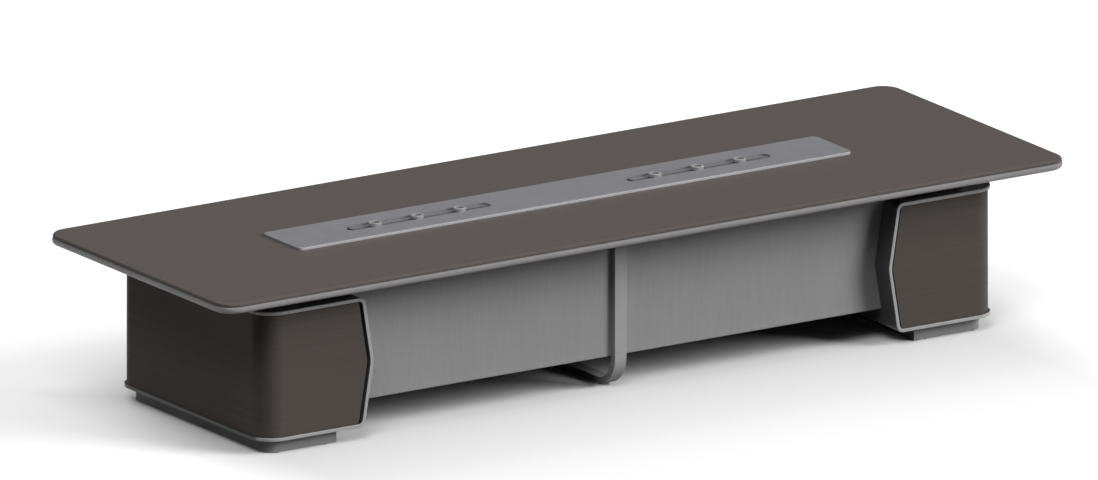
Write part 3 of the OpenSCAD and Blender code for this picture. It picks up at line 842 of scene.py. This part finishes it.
@dataclass
class Top:
    """The veneered board, the grey trim round it and the raised plate.

    The plate's two slots lie within slots_within of its middle, along X and Y.
    """

    shop: Workshop
    board_edge: float = 0.8 * MM
    plate_edge: float = 0.8 * MM
    most_sideways: float = 0.6
    slots_within: tuple[float, float] = (1.3, 0.1)
    corner_r: float = 95 * MM
    nose_share: float = 0.97
    inner_r: float = 0.6 * MM
    trim_w: float = 30 * MM
    corner_steps: int = 20
    nose_steps: int = 10

    def trim_tree(self) -> GeometryTree:
        """Builds the tree of the edge trim: its section led along the outline of the top.

        Returns:
            The tree.
        """
        tree = GeometryTree("edge_trim")
        length, width, height = tree.size("Length"), tree.size("Width"), tree.size("Height")
        corner, depth, nose = tree.size("Corner radius"), tree.size("Depth"), tree.size("Nose radius")
        inner, bottom = tree.size("Inner radius"), tree.size("Bottom")
        inset = tree.sums("SUBTRACT", length, depth)
        path = tree.add("GeometryNodeCurvePrimitiveQuadrilateral", {
            "Width": inset, "Height": tree.sums("SUBTRACT", width, depth)})
        path_r = tree.sums("SUBTRACT", corner, tree.sums("MULTIPLY", depth, 0.5))
        rounded = tree.add("GeometryNodeFilletCurve", {
            "Curve": path.outputs[0], "Radius": path_r, "Count": self.corner_steps}, mode="POLY").outputs[0]
        middle = tree.sums("ADD", bottom, tree.sums("MULTIPLY", height, 0.5))
        lifted = tree.add("GeometryNodeTransform", {
            "Geometry": rounded, "Translation": tree.vector(0.0, 0.0, middle)}).outputs[0]
        level = tree.add("GeometryNodeSetCurveNormal", {"Curve": lifted}, mode="Z_UP").outputs[0]
        section = tree.add("GeometryNodeCurvePrimitiveQuadrilateral", {"Width": depth, "Height": height})
        place = tree.add("GeometryNodeInputPosition", {}).outputs[0]
        outward = tree.add("ShaderNodeSeparateXYZ", {"Vector": place}).outputs["X"]
        is_nose = tree.sums("GREATER_THAN", outward, 0.0)
        gain = tree.sums("MULTIPLY", is_nose, tree.sums("SUBTRACT", nose, inner))
        radius = tree.sums("ADD", inner, gain)
        soft_section = tree.add("GeometryNodeFilletCurve", {
            "Curve": section.outputs[0], "Radius": radius, "Count": self.nose_steps}, mode="POLY").outputs[0]
        swept = tree.add("GeometryNodeCurveToMesh", {
            "Curve": level, "Profile Curve": soft_section}).outputs[0]
        tree.close(swept, self.shop.material(EDGE_LACQUER))
        return tree

    def build(self) -> None:
        """Makes the board, the trim and the plate."""
        self.shop.soften("top_panel", TOP_VENEER, self.board_edge)
        plate = self.shop.soften("centre_plate", PLATE_LACQUER, self.plate_edge)
        # The plate's faces that look to the front and back keep the lighter colour, a painted highlight.
        self.shop.mark_shade_side(plate, self.most_sideways, self.slots_within)
        low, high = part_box("top_edge_trim")
        nose_r = self.nose_share * min((high.z - low.z) / 2, self.trim_w)
        sizes = {"Length": high.x - low.x, "Width": high.y - low.y, "Height": high.z - low.z,
                 "Corner radius": self.corner_r, "Depth": self.trim_w, "Nose radius": nose_r,
                 "Inner radius": self.inner_r, "Bottom": low.z}
        trim = self.trim_tree().run("edge_trim_swept", sizes, [Vector((0, 0, 0))])
        self.shop.shade(trim.data)
        self.shop.keep(trim, "top_edge_trim")


@dataclass
class PowerTracks:
    """The two tracks with their liners, strips and caps, and the six adapters on them."""

    shop: Workshop
    rail_edge: float = 0.4 * MM
    cap_edge: float = 0.6 * MM
    head_edge: float = 0.7 * MM
    face_edge: float = 0.25 * MM
    base_edge: float = 0.4 * MM

    def build(self) -> None:
        """Makes the tracks, then each adapter."""
        for side in SIDES:
            self.shop.soften(f"track_rail_{side}", TRACK_METAL, self.rail_edge)
            self.shop.dress(f"track_liner_{side}", INSULATOR)
            self.shop.dress(f"track_busbars_{side}", CONDUCTOR)
        self.shop.soften("track_end_caps", CAP_PLASTIC, self.cap_edge)
        for number in ADAPTERS:
            self.shop.soften(f"adapter_base_{number}", INSULATOR, self.base_edge)
            self.shop.soften(f"adapter_head_{number}", ADAPTER_SHELL, self.head_edge)
            self.shop.soften(f"adapter_face_{number}", SOCKET_FACE, self.face_edge)


@dataclass
class Pedestals:
    """The two pedestals: bent band, veneered wrap, ribs and plinth."""

    shop: Workshop
    band_edge: float = 3.0 * MM
    band_steps: int = 3
    wrap_edge: float = 1.2 * MM
    plinth_edge: float = 1.8 * MM
    most_sideways: float = 0.35

    def build(self) -> None:
        """Makes both pedestals."""
        for side in SIDES:
            band = self.shop.soften(f"pedestal_band_{side}", BAND_LACQUER, self.band_edge, self.band_steps)
            # The band's wide faces take the darker colour, a painted shade.
            self.shop.mark_shade_side(band, self.most_sideways)
            self.shop.soften(f"pedestal_wrap_{side}", PEDESTAL_VENEER, self.wrap_edge)
            self.shop.soften(f"plinth_{side}", PLINTH_LACQUER, self.plinth_edge)
            self.shop.dress(f"pedestal_ribs_{side}", CARCASS_BOARD)


@dataclass
class Middle:
    """The U-shaped centre leg and the modesty panels."""

    shop: Workshop
    leg_edge: float = 2.2 * MM
    leg_steps: int = 3
    panel_edge: float = 1.0 * MM

    def build(self) -> None:
        """Makes the leg and the four panels."""
        self.shop.soften("centre_leg", LEG_PAINT, self.leg_edge, self.leg_steps)
        for row in ("front", "back"):
            for side in SIDES:
                self.shop.soften(f"modesty_{row}_{side}", PANEL_LAMINATE, self.panel_edge)


@dataclass
class UnderFrame:
    """Beams, cross rails, risers, trays, cleats, brackets and floor pads."""

    shop: Workshop
    tube_edge: float = 2.0 * MM
    sheet_edge: float = 0.4 * MM
    bracket_edge: float = 0.8 * MM
    pad_edge: float = 0.5 * MM

    def build(self) -> None:
        """Makes every piece of the under frame."""
        for node in ("beam_front", "beam_back", "cross_rails", "riser_left", "riser_right"):
            self.shop.soften(node, FRAME_STEEL, self.tube_edge)
        for side in SIDES:
            self.shop.soften(f"cable_tray_{side}", FRAME_STEEL, self.sheet_edge)
        for node in ("leg_cleats", "panel_brackets"):
            self.shop.soften(node, FRAME_STEEL, self.bracket_edge)
        self.shop.soften("floor_glides", GLIDE, self.pad_edge)


@dataclass(frozen=True)
class SoftSun:
    """A distant soft light, placed by its angle round the table from the front towards the right."""

    name: str
    azimuth: float
    height: float
    level: float
    softness: float = 30.0
    mirrored: bool = True

    def hang(self) -> None:
        """Adds the light to the scene, in view of glossy surfaces only where it is mirrored."""
        sun = bpy.data.lights.new(self.name, "SUN")
        sun.energy, sun.angle = math.pi * self.level, math.radians(self.softness)
        lamp = placed(self.name, sun)
        towards = direction(math.radians(self.azimuth), math.radians(self.height))
        lamp.rotation_euler = towards.to_track_quat("Z", "Y").to_euler()
        lamp.visible_glossy = self.mirrored


@dataclass
class Studio:
    """Pale floor, soft light from the front and above, and the camera at the photograph's angle.

    The frame's width, its scale and the place of the table's origin in it are in the photograph's pixels.
    """

    pixels_per_metre: float = 229.3
    frame_w: float = 1098.0
    origin_right_of_centre: float = 8.3
    origin_below_centre: float = 123.5
    azimuth: float = math.radians(-33.04)
    elevation: float = math.radians(15.65)
    camera_distance: float = 12.0
    camera_reach: tuple[float, float] = (0.1, 100.0)
    floor_size: float = 80.0
    floor_colour: Colour = (251, 251, 251)
    bounce_colour: Colour = (40, 40, 40)
    glow: float = 0.22
    glow_from: tuple[float, float] = (1.82, 0.50)
    glow_reach: float = 0.4
    zenith_strength: float = 0.865
    zenith_narrowness: float = 3.0
    suns: tuple[SoftSun, ...] = (
        SoftSun("key", azimuth=45.0, height=25.0, level=0.817, mirrored=False),
        SoftSun("fill", azimuth=-45.0, height=50.0, level=0.290),
        SoftSun("rim", azimuth=180.0, height=50.0, level=0.162),
    )

    def camera(self) -> None:
        """Sets up the parallel camera of the photograph."""
        back = direction(self.azimuth, self.elevation)
        right = Vector((math.cos(self.azimuth), math.sin(self.azimuth), 0))
        up = back.cross(right)
        shift = up * self.origin_below_centre - right * self.origin_right_of_centre
        target = shift / self.pixels_per_metre
        data = bpy.data.cameras.new("camera")
        data.type, data.ortho_scale = "ORTHO", self.frame_w / self.pixels_per_metre
        data.clip_start, data.clip_end = self.camera_reach
        camera = placed("camera", data)
        camera.location = target + back * self.camera_distance
        camera.rotation_euler = (-back).to_track_quat("-Z", "Y").to_euler()
        bpy.context.scene.camera = camera

    def floor(self) -> None:
        """Lays the floor: it throws back less light than it shows, and a glow keeps the far shadow pale."""
        half = self.floor_size / 2
        mesh = bpy.data.meshes.new("floor")
        mesh.from_pydata([(-half, -half, 0), (half, -half, 0), (half, half, 0), (-half, half, 0)],
                         [], [(0, 1, 2, 3)])
        shader = Shader("floor")
        path = shader.nodes.new("ShaderNodeLightPath")
        seen = path.outputs["Is Camera Ray"]
        for ray in ("Is Glossy Ray", "Is Transmission Ray"):
            seen = shader.sums("MAXIMUM", seen, path.outputs[ray])
        colour = shader.mix(seen, linear(self.bounce_colour), linear(self.floor_colour))
        shader.feed(shader.surface.inputs["Base Color"], colour)
        parts = shader.nodes.new("ShaderNodeSeparateXYZ")
        shader.feed(parts.inputs[0], shader.place)
        out = shader.sums("ABSOLUTE", parts.outputs["X"], 0.0)
        beyond = shader.sums("SUBTRACT", out, self.glow_from[0])
        behind = shader.sums("SUBTRACT", parts.outputs["Y"], self.glow_from[1])
        past = shader.sums("MAXIMUM", beyond, behind)
        away = shader.spread(past, (0.0, self.glow_reach), (0.0, self.glow))
        shader.feed(shader.surface.inputs["Emission Color"], WHITE)
        shader.feed(shader.surface.inputs["Emission Strength"], shader.sums("MULTIPLY", seen, away))
        shader.settle(Roughness=1.0, Specular_IOR_Level=0.0)
        mesh.materials.append(shader.material)
        floor = placed("floor", mesh)

    def light(self) -> None:
        """Hangs the soft lights and sets the light of the room."""
        for sun in self.suns:
            sun.hang()
        bpy.context.scene.world = self.room()

    def room(self) -> bpy.types.World:
        """Makes the room, whose light is strongest straight above and fades towards the floor.

        Returns:
            The world.
        """
        world = bpy.data.worlds.new("room")
        world.use_nodes = True
        tree = NodeTree(world.node_tree)
        background = tree.nodes["Background"]
        tree.feed(background.inputs["Color"], WHITE)
        way = tree.nodes.new("ShaderNodeTexCoord")
        parts = tree.nodes.new("ShaderNodeSeparateXYZ")
        tree.feed(parts.inputs[0], way.outputs["Generated"])
        upward = tree.sums("MAXIMUM", parts.outputs["Z"], 0.0)
        height = tree.sums("POWER", upward, self.zenith_narrowness)
        tree.feed(background.inputs["Strength"], tree.sums("MULTIPLY", height, self.zenith_strength))
        return world

    def build(self) -> None:
        """Sets up camera, floor and light."""
        self.camera()
        self.floor()
        self.light()
        bpy.context.scene.view_settings.view_transform = "Standard"


def main() -> None:
    """Loads the frame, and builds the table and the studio."""
    logging.basicConfig(level=logging.INFO, format="%(name)s: %(message)s")
    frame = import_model()
    shop = Workshop(frame)
    for part in (Top, PowerTracks, Pedestals, Middle, UnderFrame, Fasteners):
        part(shop).build()
    Studio().build()


if __name__ == "__main__":
    main()
